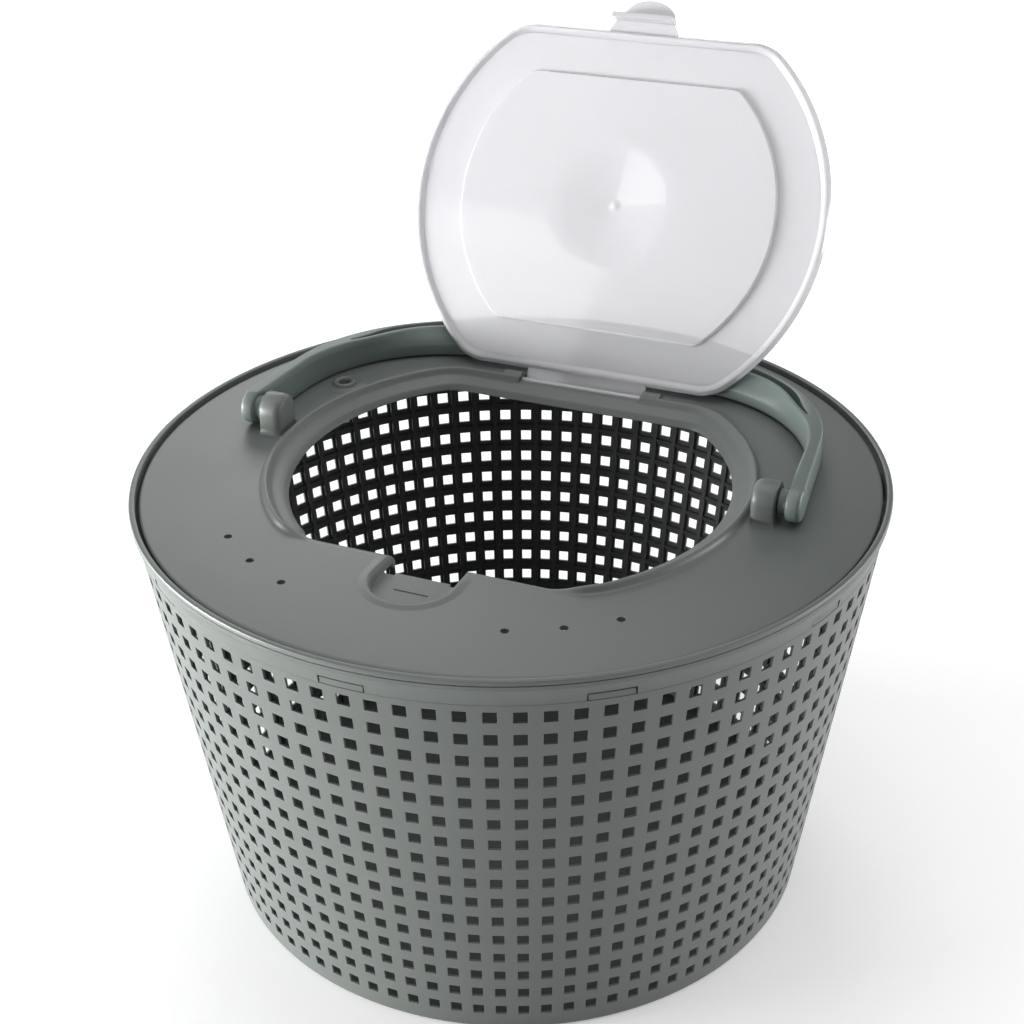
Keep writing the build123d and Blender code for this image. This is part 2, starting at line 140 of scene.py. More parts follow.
def tubeFaces(rows, columns):
    # closed outlines one after another, with the first and the last filled
    last = columns * (rows - 1)
    ends = [tuple(range(columns))[::-1], tuple(range(last, last + columns))]
    return gridFaces(rows, columns, False, True) + ends


def lensFaces(rows, columns):
    # open outlines round an axis, with the holes at their first and last points filled
    first = tuple(columns * i for i in range(rows))
    last = tuple(columns * i + columns - 1 for i in range(rows))
    return gridFaces(rows, columns, True, False) + [first, last[::-1]]


def revolved(profile, steps, centre=(0, 0)):
    # closed (radius, height) profile turned about a vertical axis
    verts = []
    for i in range(steps):
        turn = 2 * math.pi * i / steps
        verts += [(centre[0] + r * math.cos(turn), centre[1] + r * math.sin(turn), z) for r, z in profile]
    return verts, gridFaces(steps, len(profile), True, True)


def arcPoints(cx, cy, radius, start, end, steps):
    # angles in degrees
    return [
        (cx + radius * math.cos(math.radians(mix(start, end, i / steps))),
         cy + radius * math.sin(math.radians(mix(start, end, i / steps))))
        for i in range(steps + 1)
    ]


def cutCircle(radius, front, back, corner, spacing):
    # circle cut straight at front (-y) and back (+y), round corners; points with outward normals,
    # counter-clockwise from the middle of the right side
    def cornerArc(cut):
        cy = cut - corner
        cx = math.sqrt((radius - corner) ** 2 - cy ** 2)
        return cx, cy, math.degrees(math.atan2(cy, cx))

    def arc(cx, cy, r, start, end):
        steps = max(2, math.ceil(math.radians(abs(end - start)) * r / spacing))
        out = []
        for i in range(steps):
            turn = math.radians(mix(start, end, i / steps))
            out.append((cx + r * math.cos(turn), cy + r * math.sin(turn), math.cos(turn), math.sin(turn)))
        return out

    bx, by, backTurn = cornerArc(back)
    fx, fy, frontTurn = cornerArc(front)
    points = arc(0, 0, radius, 0, backTurn)
    points += arc(bx, by, corner, backTurn, 90)
    steps = math.ceil(2 * bx / spacing)
    points += [(mix(bx, -bx, i / steps), back, 0.0, 1.0) for i in range(steps)]
    points += arc(-bx, by, corner, 90, 180 - backTurn)
    points += arc(0, 0, radius, 180 - backTurn, 180 + frontTurn)
    points += arc(-fx, -fy, corner, 180 + frontTurn, 270)
    steps = math.ceil(2 * fx / spacing)
    points += [(mix(-fx, fx, i / steps), -front, 0.0, -1.0) for i in range(steps)]
    points += arc(fx, -fy, corner, 270, 360 - frontTurn)
    points += arc(0, 0, radius, 360 - frontTurn, 360)
    return points


def emptyMaterial(name):
    material = bpy.data.materials.new(name)
    material.use_nodes = True
    material.node_tree.nodes.clear()
    return material, material.node_tree


def mouldedPolypropylene(name, shade, roughness, mottle):
    # filled polypropylene from a satin mould: even grey-green, soft wide highlights, hardly any texture
    material, tree = emptyMaterial(name)
    where = addNode(tree, "ShaderNodeTexCoord")
    # flow marks of the melt, some 40 mm long
    flow = addNode(
        tree, "ShaderNodeTexNoise", {"Scale": 1 / (40 * mm), "Detail": 3.0}, {"Vector": (where, "Object")},
    )
    light = addNode(tree, "ShaderNodeMix", {"data_type": "RGBA"}, {"Factor": (flow, "Fac")})
    light.inputs["A"].default_value = linear(shade[0])
    light.inputs["B"].default_value = linear(shade[1])
    dull = addNode(
        tree, "ShaderNodeMapRange", {"To Min": roughness - mottle, "To Max": roughness + mottle},
        {"Value": (flow, "Fac")},
    )
    # fine spark-eroded grain of the mould, 0.5 mm, drawn twice as coarse so that it shows
    grain = addNode(
        tree, "ShaderNodeTexNoise", {"Scale": 1 / (1.0 * mm), "Detail": 2.0}, {"Vector": (where, "Object")},
    )
    relief = addNode(
        tree, "ShaderNodeBump", {"Strength": 0.06, "Distance": 0.05 * mm}, {"Height": (grain, "Fac")},
    )
    shader = addNode(
        tree, "ShaderNodeBsdfPrincipled", {"IOR": 1.49},
        {"Base Color": (light, "Result"), "Roughness": (dull, "Result"), "Normal": (relief, "Normal")},
    )
    addNode(tree, "ShaderNodeOutputMaterial", None, {"Surface": (shader, "BSDF")})
    return material


def naturalPolypropylene(name):
    # uncoloured polypropylene, 1.3 mm thick: see-through but milky, with a cool cast and a soft gloss
    material, tree = emptyMaterial(name)
    where = addNode(tree, "ShaderNodeTexCoord")
    # haze varies slowly over some 60 mm
    haze = addNode(
        tree, "ShaderNodeTexNoise", {"Scale": 1 / (60 * mm), "Detail": 2.0}, {"Vector": (where, "Object")},
    )
    cast = addNode(tree, "ShaderNodeMix", {"data_type": "RGBA"}, {"Factor": (haze, "Fac")})
    cast.inputs["A"].default_value = linear("#e0e0e3")
    cast.inputs["B"].default_value = linear("#e4e4e7")
    shader = addNode(
        tree, "ShaderNodeBsdfPrincipled",
        {
            "IOR": 1.49, "Roughness": 0.05, "Transmission Weight": 0.38,
            "Subsurface Weight": 0.55, "Subsurface Radius": (1.0, 1.0, 1.0), "Subsurface Scale": 2 * mm,
        },
        {"Base Color": (cast, "Result")},
    )
    addNode(tree, "ShaderNodeOutputMaterial", None, {"Surface": (shader, "BSDF")})
    return material


bucketPlastic = mouldedPolypropylene("mouldedPolypropylene", ("#696e6b", "#6f7471"), 0.4, 0.04)
handlePlastic = mouldedPolypropylene("handlePolypropylene", ("#6d7975", "#737f7b"), 0.44, 0.04)
# inside of the basket: the same plastic painted much darker, as painted shade, and a little rougher, so that
# the mesh reads dark from within
insideShadePlastic = mouldedPolypropylene("insideShadedPolypropylene", ("#3f4241", "#434645"), 0.55, 0.04)
hatchPlastic = naturalPolypropylene("naturalPolypropylene")
# what a piece is made of: its finish, the body that carries it and its material slot
bucketMould = (bucketPlastic, "bucket", "moulded_polypropylene")
insideShadeMould = (insideShadePlastic, "bucket", "moulded_polypropylene")
handleMould = (handlePlastic, "handle", "moulded_polypropylene")
hatchMould = (hatchPlastic, "hatch", "clear_polypropylene")
print("materials:", ", ".join(mould[0].name for mould in (bucketMould, insideShadeMould, handleMould, hatchMould)))

# basket: tapered wall with a square mesh, waffle ribs inside, band, rim and snap slots; sizes in mm
# holeShare is a hole's share of its column, topHoop a share of rowPitch, insideFrom a share of the wall, past
# which inside faces get the painted-shade plastic
basketSize = {
    "height": 182.3, "topRadius": 149.4, "footRadius": 123.4, "wall": 1.0, "floor": 2.0,
    "footRound": 2.5, "rimRadius": 150.15, "rimFoot": 177.9, "rows": 16, "columns": 90,
    "hole": 4.8, "holeShare": 0.48, "holeBevel": 0.12, "topRow": 165.5, "rowPitch": 10.279,
    "band": 170.9, "bandStep": 0.1, "ribWidth": 2.0, "ribDraft": 0.25, "ribDepth": 1.1,
    "hoopHeight": 1.9, "hoopDepth": 0.9, "topHoop": 0.48,
    "insideFrom": 0.85, "edgeRound": 0.28, "ribEdge": 0.12,
}
# snap slots through the band, each with the nib of a cover finger in it: (radius in, radius out, low, high)
snapSize = {
    "count": 10, "slotWidth": 18.0, "slot": (140, 152, 170.95, 174.3), "nibWidth": 16.6,
    "nib": (143.3, 147.7, 171.0, 173.6), "finger": (143.1, 144.6, 171.0, 178.7), "edgeRound": 0.2,
}


def wallRadius(z):
    s = basketSize
    return s["footRadius"] + (s["topRadius"] - s["footRadius"]) * z / s["height"]


def curvedBlock(centreTurn, width, inner, outer, low, high, steps=8):
    # block bent round the basket's axis
    half = math.degrees(width / 2 / outer)
    verts = []
    for i in range(steps + 1):
        turn = math.radians(mix(centreTurn - half, centreTurn + half, i / steps))
        for r, z in ((inner, low), (outer, low), (outer, high), (inner, high)):
            verts.append((r * math.cos(turn), r * math.sin(turn), z))
    faces = gridFaces(steps + 1, 4, False, True)
    last = 4 * steps
    faces += [(0, 1, 2, 3), (last + 3, last + 2, last + 1, last)]
    return verts, faces


def joined(parts):
    # several (verts, faces) as one
    verts, faces = [], []
    for partVerts, partFaces in parts:
        base = len(verts)
        verts += partVerts
        faces += [tuple(base + i for i in face) for face in partFaces]
    return verts, faces


def applyModifiers(piece):
    bpy.context.view_layer.update()
    shape = bpy.data.meshes.new_from_object(piece.evaluated_get(bpy.context.evaluated_depsgraph_get()))
    piece.modifiers.clear()
    piece.data = shape


def cutWith(piece, verts, faces):
    # takes a cutter out of a piece, then drops the cutter
    data = newMesh("cutter", verts, faces)
    work = bmesh.new()
    work.from_mesh(data)
    bmesh.ops.recalc_face_normals(work, faces=work.faces)
    work.to_mesh(data)
    work.free()
    cutter = newObject("cutter", data)
    cut = piece.modifiers.new("cut", "BOOLEAN")
    cut.operation = "DIFFERENCE"
    cut.solver = "EXACT"
    cut.object = cutter
    applyModifiers(piece)
    bpy.data.objects.remove(cutter)


def basketShell():
    s = basketSize
    rowHeights = [s["topRow"] - s["rowPitch"] * i for i in reversed(range(s["rows"]))]
    half = s["hole"] / 2
    holeLines = [z for centre in rowHeights for z in (centre - half, centre + half)]
    footRound = s["footRound"]
    foot = [
        (wallRadius(footRound) - footRound * (1 - math.sin(turn)), footRound * (1 - math.cos(turn)))
        for turn in (math.radians(t) for t in (0, 25, 50, 75))
    ]
    bevel = s["holeBevel"]
    bevelLines = [z + (bevel if i % 2 else -bevel) for i, z in enumerate(holeLines)]
    outer = [(wallRadius(z), z) for z in [footRound] + bevelLines + [s["band"]]]
    rimFoot, top = s["rimFoot"], s["height"]
    step = s["bandStep"]
    rim = [
        (wallRadius(s["band"]) - step, s["band"] + step), (wallRadius(rimFoot) - step, rimFoot - 0.4),
        (wallRadius(rimFoot) + 0.3, rimFoot), (s["rimRadius"] - 0.35, rimFoot + 0.3),
        (s["rimRadius"] - 0.35, rimFoot + 1.9), (s["rimRadius"] - 0.9, rimFoot + 2.05),
        (s["rimRadius"] - 0.9, rimFoot + 2.35), (s["rimRadius"], rimFoot + 2.55),
        (s["rimRadius"], top - 0.8), (s["rimRadius"] - 0.25, top - 0.22), (s["rimRadius"] - 0.8, top),
        (s["topRadius"] - 1.0, top), (s["topRadius"] - 1.6, top - 0.3), (s["topRadius"] - 1.75, top - 1.0),
        (wallRadius(rimFoot) - s["wall"], rimFoot),
    ]
    inner = [(wallRadius(z) - s["wall"], z) for z in [s["band"]] + holeLines[::-1] + [s["floor"] + 1.5]]
    floor, wall = s["floor"], s["wall"]
    floorEdge = [(wallRadius(floor) - wall - 0.5, floor + 0.4), (wallRadius(0) - wall - 2.2, floor)]
    profile = foot + outer + rim + inner + floorEdge
    outerStart = len(foot) + 1
    innerStart = len(foot) + len(outer) + len(rim) + 1
    columns = 2 * s["columns"]
    holeReach = math.pi / s["columns"] * s["holeShare"]
    verts = []
    for n, (r, z) in enumerate(profile):
        reach = holeReach + (bevel / r if n < innerStart else 0)
        for c in range(s["columns"]):
            turn = math.radians(-90 + 360 * c / s["columns"])
            for t in (turn - reach, turn + reach):
                verts.append((r * math.cos(t), r * math.sin(t), z))
    holes = set()
    for k in range(s["rows"]):
        holes.add(outerStart + 2 * k)
        holes.add(innerStart + len(holeLines) - 2 - 2 * k)
    faces = []
    for i in range(len(profile) - 1):
        for j in range(columns):
            if i in holes and j % 2 == 0:
                continue
            a, b = i * columns + j, i * columns + (j + 1) % columns
            faces.append((a, b, b + columns, a + columns))
    for k in range(s["rows"]):
        low, high = outerStart + 2 * k, outerStart + 2 * k + 1
        innerHigh = innerStart + len(holeLines) - 2 - 2 * k
        innerLow = innerHigh + 1
        sill, lintel = holeLines[2 * k], holeLines[2 * k + 1]
        for j in range(0, columns, 2):
            turn = math.radians(-90 + 180 * j / s["columns"])
            ring = [low * columns + j, low * columns + j + 1, high * columns + j + 1, high * columns + j]
            back = [innerLow * columns + j, innerLow * columns + j + 1]
            back += [innerHigh * columns + j + 1, innerHigh * columns + j]
            throat = [len(verts) + n for n in range(4)]
            for z, t in ((sill, -1), (sill, 1), (lintel, 1), (lintel, -1)):
                r = wallRadius(z) - bevel
                verts.append((r * math.cos(turn + t * holeReach), r * math.sin(turn + t * holeReach), z))
            for n in range(4):
                m = (n + 1) % 4
                faces += [(ring[n], ring[m], throat[m], throat[n]), (throat[n], throat[m], back[m], back[n])]
    faces.append(tuple(range(columns)))
    last = (len(profile) - 1) * columns
    faces.append(tuple(range(last + columns - 1, last - 1, -1)))
    return verts, faces


def basketRib(turn):
    # upright rib on the inside, between two columns of holes
    s = basketSize
    verts = []
    for z in (s["floor"] + 1.5, s["band"]):
        r = wallRadius(z) - s["wall"]
        half = s["ribWidth"] / 2 / r
        slope = s["ribDraft"] / r
        corners = ((-0.3, -half - slope), (s["ribDepth"], -half), (s["ribDepth"], half), (-0.3, half + slope))
        for depth, t in corners:
            verts.append(((r - depth) * math.cos(turn + t), (r - depth) * math.sin(turn + t), z))
    return verts, [(0, 1, 5, 4), (1, 2, 6, 5), (2, 3, 7, 6), (3, 0, 4, 7), (3, 2, 1, 0), (4, 5, 6, 7)]


def basketHoop(z):
    # level rib on the inside, between two rows of holes, a little lower than the upright ones
    s = basketSize
    half = s["hoopHeight"] / 2
    r = wallRadius(z) - s["wall"]
    crest = r - s["hoopDepth"]
    profile = [
        (r + 0.3, z - half - s["ribDraft"]), (crest, z - half), (crest, z + half - 0.3),
        (crest + 0.3, z + half), (r + 0.3, z + half + 0.1),
    ]
    return revolved(profile, 2 * s["columns"])


def snapBlocks(width, block):
    # one block at each snap, the first in the middle of the front
    step = 360 / snapSize["count"]
    return joined([curvedBlock(-90 + step * i, width, *block) for i in range(snapSize["count"])])


basket = meshPiece("meshBasket", *basketShell(), *bucketMould)
cutWith(basket, *snapBlocks(snapSize["slotWidth"], snapSize["slot"]))
# faces on the inside of the wall take the darker plastic: painted shade
basket.data.materials.append(insideShadePlastic)
for face in basket.data.polygons:
    x, y, z = (c / mm for c in face.center)
    inside = math.hypot(x, y) < wallRadius(z) - basketSize["insideFrom"] * basketSize["wall"]
    if inside and basketSize["floor"] - 0.2 < z < basketSize["rimFoot"]:
        face.material_index = 1
softenEdges(basket, basketSize["edgeRound"])
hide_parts("basket")
ribShares = [(i + 0.5) / basketSize["columns"] for i in range(basketSize["columns"])]
ribs = joined([basketRib(math.radians(-90 + 360 * share)) for share in ribShares])
# the inside ribs, and the hoops below, are in the painted-shade plastic too
basketRibs = meshPiece("basketRibs", *ribs, *insideShadeMould)
softenEdges(basketRibs, basketSize["ribEdge"], 30, 1)
# a hoop between each two rows of holes, and one above the top row
hoopRows = [-i - 0.5 for i in range(basketSize["rows"] - 1)] + [basketSize["topHoop"]]
hoops = joined([basketHoop(basketSize["topRow"] + basketSize["rowPitch"] * row) for row in hoopRows])
basketHoops = meshPiece("basketHoops", *hoops, *insideShadeMould)
shadeByAngle(basketHoops, 30)
print("basket:", len(basket.data.polygons), "faces")

# cover: plate, neck round the opening, finger recess and hinge pocket
# neck is (radius, front cut, back cut, corner radius)
coverSize = {
    "radius": 146.3, "top": 180.6, "thickness": 2.0, "rimRound": 0.7, "edgeRound": 0.3,
    "neck": (94.6, 74.4, 74.4, 21.0), "spacing": 1.0, "fadeStart": 46.0, "fadeEnd": 62.0,
    "roll": 5.0, "lipReach": 0.1, "lipFoot": 174.6, "fineRings": 30, "fineEnd": 38.0, "coarseRings": 12,
    "recessHalf": 15.0, "recessRoll": 4.8, "recessCrest": 0.5, "recessDepth": 4.2, "recessFront": -106.0,
    "latchEdge": -82.0, "notchWidth": 4.0, "notchDepth": 1.6,
    "arrow": ((-7.0, -92.6), (7.0, -92.6), (0.0, -86.2)), "arrowHeight": 0.3, "arrowEdge": 0.2,
    "pocketHalf": 28.0, "pocketFloor": 176.2, "pocketFront": 78.5, "pocketBack": 86.1, "pocketWall": 1.6,
    "ventRadius": 1.6, "ventCircle": 117.3, "ventTurns": (21.8, 31.8, 41.8),
    "portSpot": (-98.5, 46.9), "portBore": 2.75, "portEdge": 0.05,
}
# neck from the plate inwards over bead, seat and collar: (offset from the outline, rise above the plate)
neckTop = [(offset, coverSize["top"] + rise) for offset, rise in (
    (8.0, 0.0), (6.4, 0.0), (5.3, 0.04), (4.7, 0.2), (4.3, 0.6), (3.85, 1.4), (3.45, 2.1), (3.0, 2.5),
    (2.5, 2.6), (2.05, 2.45), (1.7, 2.05), (1.1, 1.1), (0.55, 0.2), (0.05, -0.3), (-0.6, -0.58),
    (-2.5, -1.25), (-4.2, -1.85), (-4.8, -2.2), (-5.3, -3.0), (-6.15, -4.2), (-6.3, -4.7),
)]
neckUnder = [(offset, coverSize["top"] + rise) for offset, rise in (
    (-5.6, -4.8), (-4.6, -4.5), (-2.8, -3.9), (2.2, -2.0), (8.0, -2.0),
)]


def lipProfiles():
    # front edge of the opening: the plate rolls over and ends in a short skirt
    s = coverSize
    reach = s["lipReach"]
    top = [(8.0, s["top"]), (6.8, s["top"]), (5.9, s["top"])]
    # as many points as the neck has, so that one can fade into the other
    count = len(neckTop) - 5
    for i in range(count):
        turn = math.pi / 2 * i / (count - 1)
        top.append((reach + s["roll"] * (1 - math.sin(turn)), s["top"] - s["roll"] * (1 - math.cos(turn))))
    top += [(reach, s["lipFoot"] + 0.4), (reach + 0.1, s["lipFoot"] + 0.1)]
    under = [
        (reach + 0.8, s["lipFoot"]), (reach + 1.9, s["lipFoot"] + 0.2), (reach + 2.0, s["top"] - s["roll"]),
        (reach + s["roll"], s["top"] - s["thickness"]), (8.0, s["top"] - s["thickness"]),
    ]
    return top, under


def neckSamples():
    # points round the opening; sharp changes of section get two samples at one place
    s = coverSize
    out = []
    for x, y, nx, ny in cutCircle(*s["neck"], s["spacing"]):
        if y > 0 and ny == 1.0 and out:
            for stop, before, after in ((s["pocketHalf"], False, True), (-s["pocketHalf"], True, False)):
                if out[-1][0] > stop >= x and out[-1][3] == 1.0:
                    out.append((stop, y, nx, ny, before))
                    out.append((stop, y, nx, ny, after))
        pocket = ny == 1.0 and abs(x) < s["pocketHalf"]
        if not out or abs(out[-1][0] - x) + abs(out[-1][1] - y) > 0.05:
            out.append((x, y, nx, ny, pocket))
    return out


def pocketProfiles():
    # straight back of the neck between the knuckles: no bead, a pocket for the hatch's tongue
    s = coverSize
    flat = s["neck"][1]
    back, front = s["pocketBack"] - flat, s["pocketFront"] - flat
    top, low, wall = s["top"], s["pocketFloor"], s["pocketWall"]
    upper = [(back + 1.7, top), (back, top), (back, low)]
    upper += [(mix(back, front, 0.33), low), (mix(back, front, 0.66), low), (front, low), (front, top)]
    # level run up to the seat, which goes on as the neck's from its point seatStart
    seatStart = 13
    count = seatStart - len(upper)
    upper += [(mix(front, 0.4, (i + 1) / count), top) for i in range(count)]
    upper += neckTop[seatStart:]
    under = [neckUnder[0], (-4.8, top - 4.9), (front - wall, low - wall), (back + 1.5, low - wall)]
    under.append((back + 1.7, top - s["thickness"]))
    return upper, under


def coverPlate():
    s = coverSize
    lipTop, lipUnder = lipProfiles()
    pocketTop, pocketUnder = pocketProfiles()
    topZ, lowZ, rimRound = s["top"], s["top"] - s["thickness"], s["rimRound"]
    rimSteps = [(0.0, lowZ + 0.3), (0.0, topZ - rimRound), (0.2 * rimRound, topZ - 0.3 * rimRound)]
    rimSteps.append((rimRound, topZ))
    verts = []
    samples = neckSamples()
    for x, y, nx, ny, pocket in samples:
        weight = 1 - smoothStep(abs(x), s["fadeStart"], s["fadeEnd"]) if y < 0 else 0.0
        if pocket:
            upper, under = pocketTop, pocketUnder
        else:
            upper = [(mix(a[0], b[0], weight), mix(a[1], b[1], weight)) for a, b in zip(neckTop, lipTop)]
            under = [(mix(a[0], b[0], weight), mix(a[1], b[1], weight)) for a, b in zip(neckUnder, lipUnder)]
        start = upper[0][0]
        end = s["fineEnd"]
        endX, endY = x + nx * end, y + ny * end
        length = math.hypot(endX, endY)
        fine = [mix(end, start, i / s["fineRings"]) for i in range(s["fineRings"])]
        rings = [(x + nx * o, y + ny * o) for o in fine]
        rim = s["radius"] / length
        coarse = [mix(rim, 1, i / s["coarseRings"]) for i in range(1, s["coarseRings"])]
        coarse = [(endX * share, endY * share) for share in coarse]
        edge = [(endX * (rim - inset / length), endY * (rim - inset / length), z) for inset, z in rimSteps]
        column = edge + [(px, py, topZ) for px, py in coarse + rings]
        column += [(x + nx * o, y + ny * o, z) for o, z in upper + under]
        column += [(px, py, lowZ) for px, py in (rings[::-3] + coarse[::-3])]
        column.append((endX * (rim - 0.3 / length), endY * (rim - 0.3 / length), lowZ))
        verts += column
    count = len(verts) // len(samples)
    return verts, gridFaces(len(samples), count, True, True)


def uPrism(half, centreY, back, low, high, steps=24):
    # upright block with a half-round front
    outline = [(half, back), (-half, back)] + arcPoints(0, centreY, half, 180, 360, steps)
    return [(x, y, z) for z in (low, high) for x, y in outline], prismFaces(len(outline))


def post(x, y, radius, low, high, steps=28):
    # round upright block
    turns = [2 * math.pi * i / steps for i in range(steps)]
    verts = [(x + radius * math.cos(t), y + radius * math.sin(t), z) for z in (low, high) for t in turns]
    return verts, prismFaces(steps)


def fingerRecess():
    # half-round dish with rolled sides that runs out into the front edge of the opening
    s = coverSize
    half, roll, floorZ = s["recessHalf"], s["recessRoll"], s["top"] - s["recessDepth"]
    centreY = s["recessFront"] + half
    lipY = -s["neck"][1] - s["lipReach"]
    rollY = lipY - s["roll"]
    # low outward slope up to a crest, then a steep drop:
    # (offset from the inner side, drop below the plate, share of the crest)
    side = [(half + r, s["top"] - drop, crest) for r, drop, crest in (
        (roll, 0, 0), (roll - 0.7, 0, 0.2), (3.1, 0, 0.6), (2.2, 0, 0.9), (1.6, 0, 1), (1.15, 0.05, 0.9),
        (0.8, 0.3, 0.6), (0.5, 0.9, 0.25), (0.3, 1.8, 0), (0.12, 3.0, 0), (0.0, s["recessDepth"] - 0.5, 0),
    )]
    side += [(half - 0.25, floorZ + 0.1, 0), (half - 0.7, floorZ, 0)]
    section = side + [(half - s["notchWidth"], floorZ, 0), (8, floorZ, 0), (4, floorZ, 0)]
    across = [(-r, z, c) for r, z, c in section] + [(0, floorZ, 0)] + [(r, z, c) for r, z, c in section[::-1]]
    rowsY = [lipY] + [lipY - s["roll"] * (1 - math.cos(math.radians(t))) for t in (15, 30, 45, 60, 75, 90)]
    rowsY += [s["latchEdge"] - step for step in (-1.0, 0.0, s["notchDepth"], 3.0, 4.5)] + [centreY]
    verts, faces = [], []
    for y in rowsY:
        rolled = math.sqrt(max(0.0, s["roll"] ** 2 - max(0.0, y - rollY) ** 2))
        lipZ = s["top"] - s["roll"] + rolled
        lift = s["recessCrest"] * smoothStep(-y, -rollY, -rollY + 8)
        verts += [(x, y, min(z, lipZ) + lift * c) for x, z, c in across]
    columns = len(across)
    for i in range(len(rowsY) - 1):
        for j in range(columns - 1):
            midX = abs(across[j][0] + across[j + 1][0]) / 2
            edgeY = s["latchEdge"] - (s["notchDepth"] if midX > half - s["notchWidth"] else 0)
            if midX < half and rowsY[i + 1] >= edgeY - 0.01 and rowsY[i] > edgeY:
                continue
            a = i * columns + j
            faces.append((a, a + 1, a + 1 + columns, a + columns))
    # skirt below the rolled lip, each side of the gap
    for sign in (-1, 1):
        base = len(verts)
        ends = [(r, z) for r, z, c in section if r >= half]
        for r, z in ends:
            lipZ = min(z, s["top"] - s["roll"])
            verts += [(sign * r, lipY, lipZ), (sign * r, lipY, s["lipFoot"])]
        for i in range(len(ends) - 1):
            faces.append((base + 2 * i, base + 2 * i + 1, base + 2 * i + 3, base + 2 * i + 2))
    base = len(verts)
    steps = 40
    for i in range(steps + 1):
        turn = math.radians(180 + 180 * i / steps)
        cx, cy = math.cos(turn), math.sin(turn)
        verts += [(r * cx, centreY + r * cy, z + s["recessCrest"] * c) for r, z, c in section]
        verts.append((0, centreY, floorZ))
    faces += [tuple(base + n for n in face) for face in gridFaces(steps + 1, len(section) + 1)]
    return verts, faces


def sheetPiece(name, verts, faces, thickness, material, body, slotName):
    # open sheet given its wall by a Solidify on the underside
    piece = meshPiece(name, verts, [f for f in faces if len(set(f)) == len(f)], material, body, slotName)
    work = bmesh.new()
    work.from_mesh(piece.data)
    if sum(f.normal.z * f.calc_area() for f in work.faces) < 0:
        bmesh.ops.reverse_faces(work, faces=work.faces)
    work.to_mesh(piece.data)
    work.free()
    wall = piece.modifiers.new("wall", "SOLIDIFY")
    wall.thickness = thickness * mm
    wall.offset = -1
    return piece


cover = meshPiece("coverPlate", *coverPlate(), *bucketMould)
softenEdges(cover, coverSize["edgeRound"])
applyModifiers(cover)
ventSpots = [
    (side * coverSize["ventCircle"] * math.sin(turn), -coverSize["ventCircle"] * math.cos(turn))
    for side in (-1, 1) for turn in (math.radians(t) for t in coverSize["ventTurns"])
]
recessCentreY = coverSize["recessFront"] + coverSize["recessHalf"]
recessReach = coverSize["recessHalf"] + coverSize["recessRoll"]
# the cutters run well past the plate's two faces
cutLow, cutHigh, cutBack = 170, 190, -60
cutters = [uPrism(recessReach, recessCentreY, cutBack, cutLow, cutHigh)]
cutters += [post(x, y, coverSize["ventRadius"], cutLow, cutHigh) for x, y in ventSpots]
cutters.append(post(*coverSize["portSpot"], coverSize["portBore"], cutLow, cutHigh))
cutWith(cover, *joined(cutters))
shadeByAngle(cover, 35)
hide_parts("cover")
recess = sheetPiece("fingerRecess", *fingerRecess(), coverSize["thickness"], *bucketMould)
softenEdges(recess, coverSize["edgeRound"])
print("cover:", len(cover.data.polygons), "faces")

# small forms of the cover: knuckles for the hatch's pin, ears for the handle, port, arrow and snap nibs
hinge = {
    "y": 80.8, "z": 179.4, "pin": 1.6, "pinChamfer": 0.3, "bore": 1.65, "barrel": 4.0,
    "inner": 28.0, "outer": 36.0, "mouth": 2.4, "edgeRound": 0.35,
}
pivot = {
    "z": 188.3, "lugOuter": 109.7, "lugInner": 100.4, "lugRadius": 7.7, "flareHeight": 2.4, "flare": 1.5,
    "edgeRound": 0.3,
}


def extrudedX(outline, lowX, highX):
    # (y, z) outline drawn out along x
    return [(x, y, z) for x in (lowX, highX) for y, z in outline], prismFaces(len(outline))


def turnedX(profile, steps, y, z, mirrored=False):
    # (radius, x) profile turned about an axis along x
    verts = []
    sign = -1 if mirrored else 1
    for i in range(steps):
        turn = 2 * math.pi * i / steps
        verts += [(sign * x, y + r * math.cos(turn), z + r * math.sin(turn)) for r, x in profile]
    return verts, lensFaces(steps, len(profile))


def knuckleOutline():
    # barrel on a block, open at 45 degrees so that the pin snaps in
    h = hinge
    gap = math.degrees(math.asin(h["mouth"] / 2 / h["barrel"]))
    boreGap = math.degrees(math.asin(h["mouth"] / 2 / h["bore"]))
    foot = coverSize["top"] - 1.0
    outline = [(h["y"] + h["barrel"], foot)]
    outline += arcPoints(h["y"], h["z"], h["barrel"], 0, 45 - gap, 6)
    outline += arcPoints(h["y"], h["z"], h["bore"], 45 - boreGap, -(315 - boreGap), 24)
    outline += arcPoints(h["y"], h["z"], h["barrel"], 45 + gap, 180, 12)
    outline.append((h["y"] - h["barrel"], foot))
    return outline


def lugMesh(mirrored):
    # bullet-shaped ear with soft inner edges and a flared foot
    p = pivot
    sign = -1 if mirrored else 1
    foot = coverSize["top"] - 0.4
    outer, inner = p["lugOuter"], p["lugInner"]
    loops = [
        (outer, 0.5), (outer - 0.15, 0.15), (outer - 0.5, 0.0), (inner + 3.4, 0.0), (inner + 2.2, 0.12),
        (inner + 1.2, 0.5), (inner + 0.5, 1.1), (inner + 0.1, 1.8), (inner, 2.6),
    ]
    headTurns = [math.radians(t) for t in range(0, 181, 9)]
    rise = [foot + (p["z"] - foot) * i / 8 for i in range(8)]
    verts = []
    for x, inset in loops:
        radius = p["lugRadius"] - inset
        spread = [p["flare"] * max(0.0, 1 - (z - foot) / p["flareHeight"]) ** 2 for z in rise]
        outline = [(-radius - f, z) for f, z in zip(spread, rise)]
        outline += [(-radius * math.cos(t), p["z"] + radius * math.sin(t)) for t in headTurns]
        outline += [(radius + f, z) for f, z in zip(spread[::-1], rise[::-1])]
        verts += [(sign * x, y, z) for y, z in outline]
    return verts, tubeFaces(len(loops), len(verts) // len(loops))


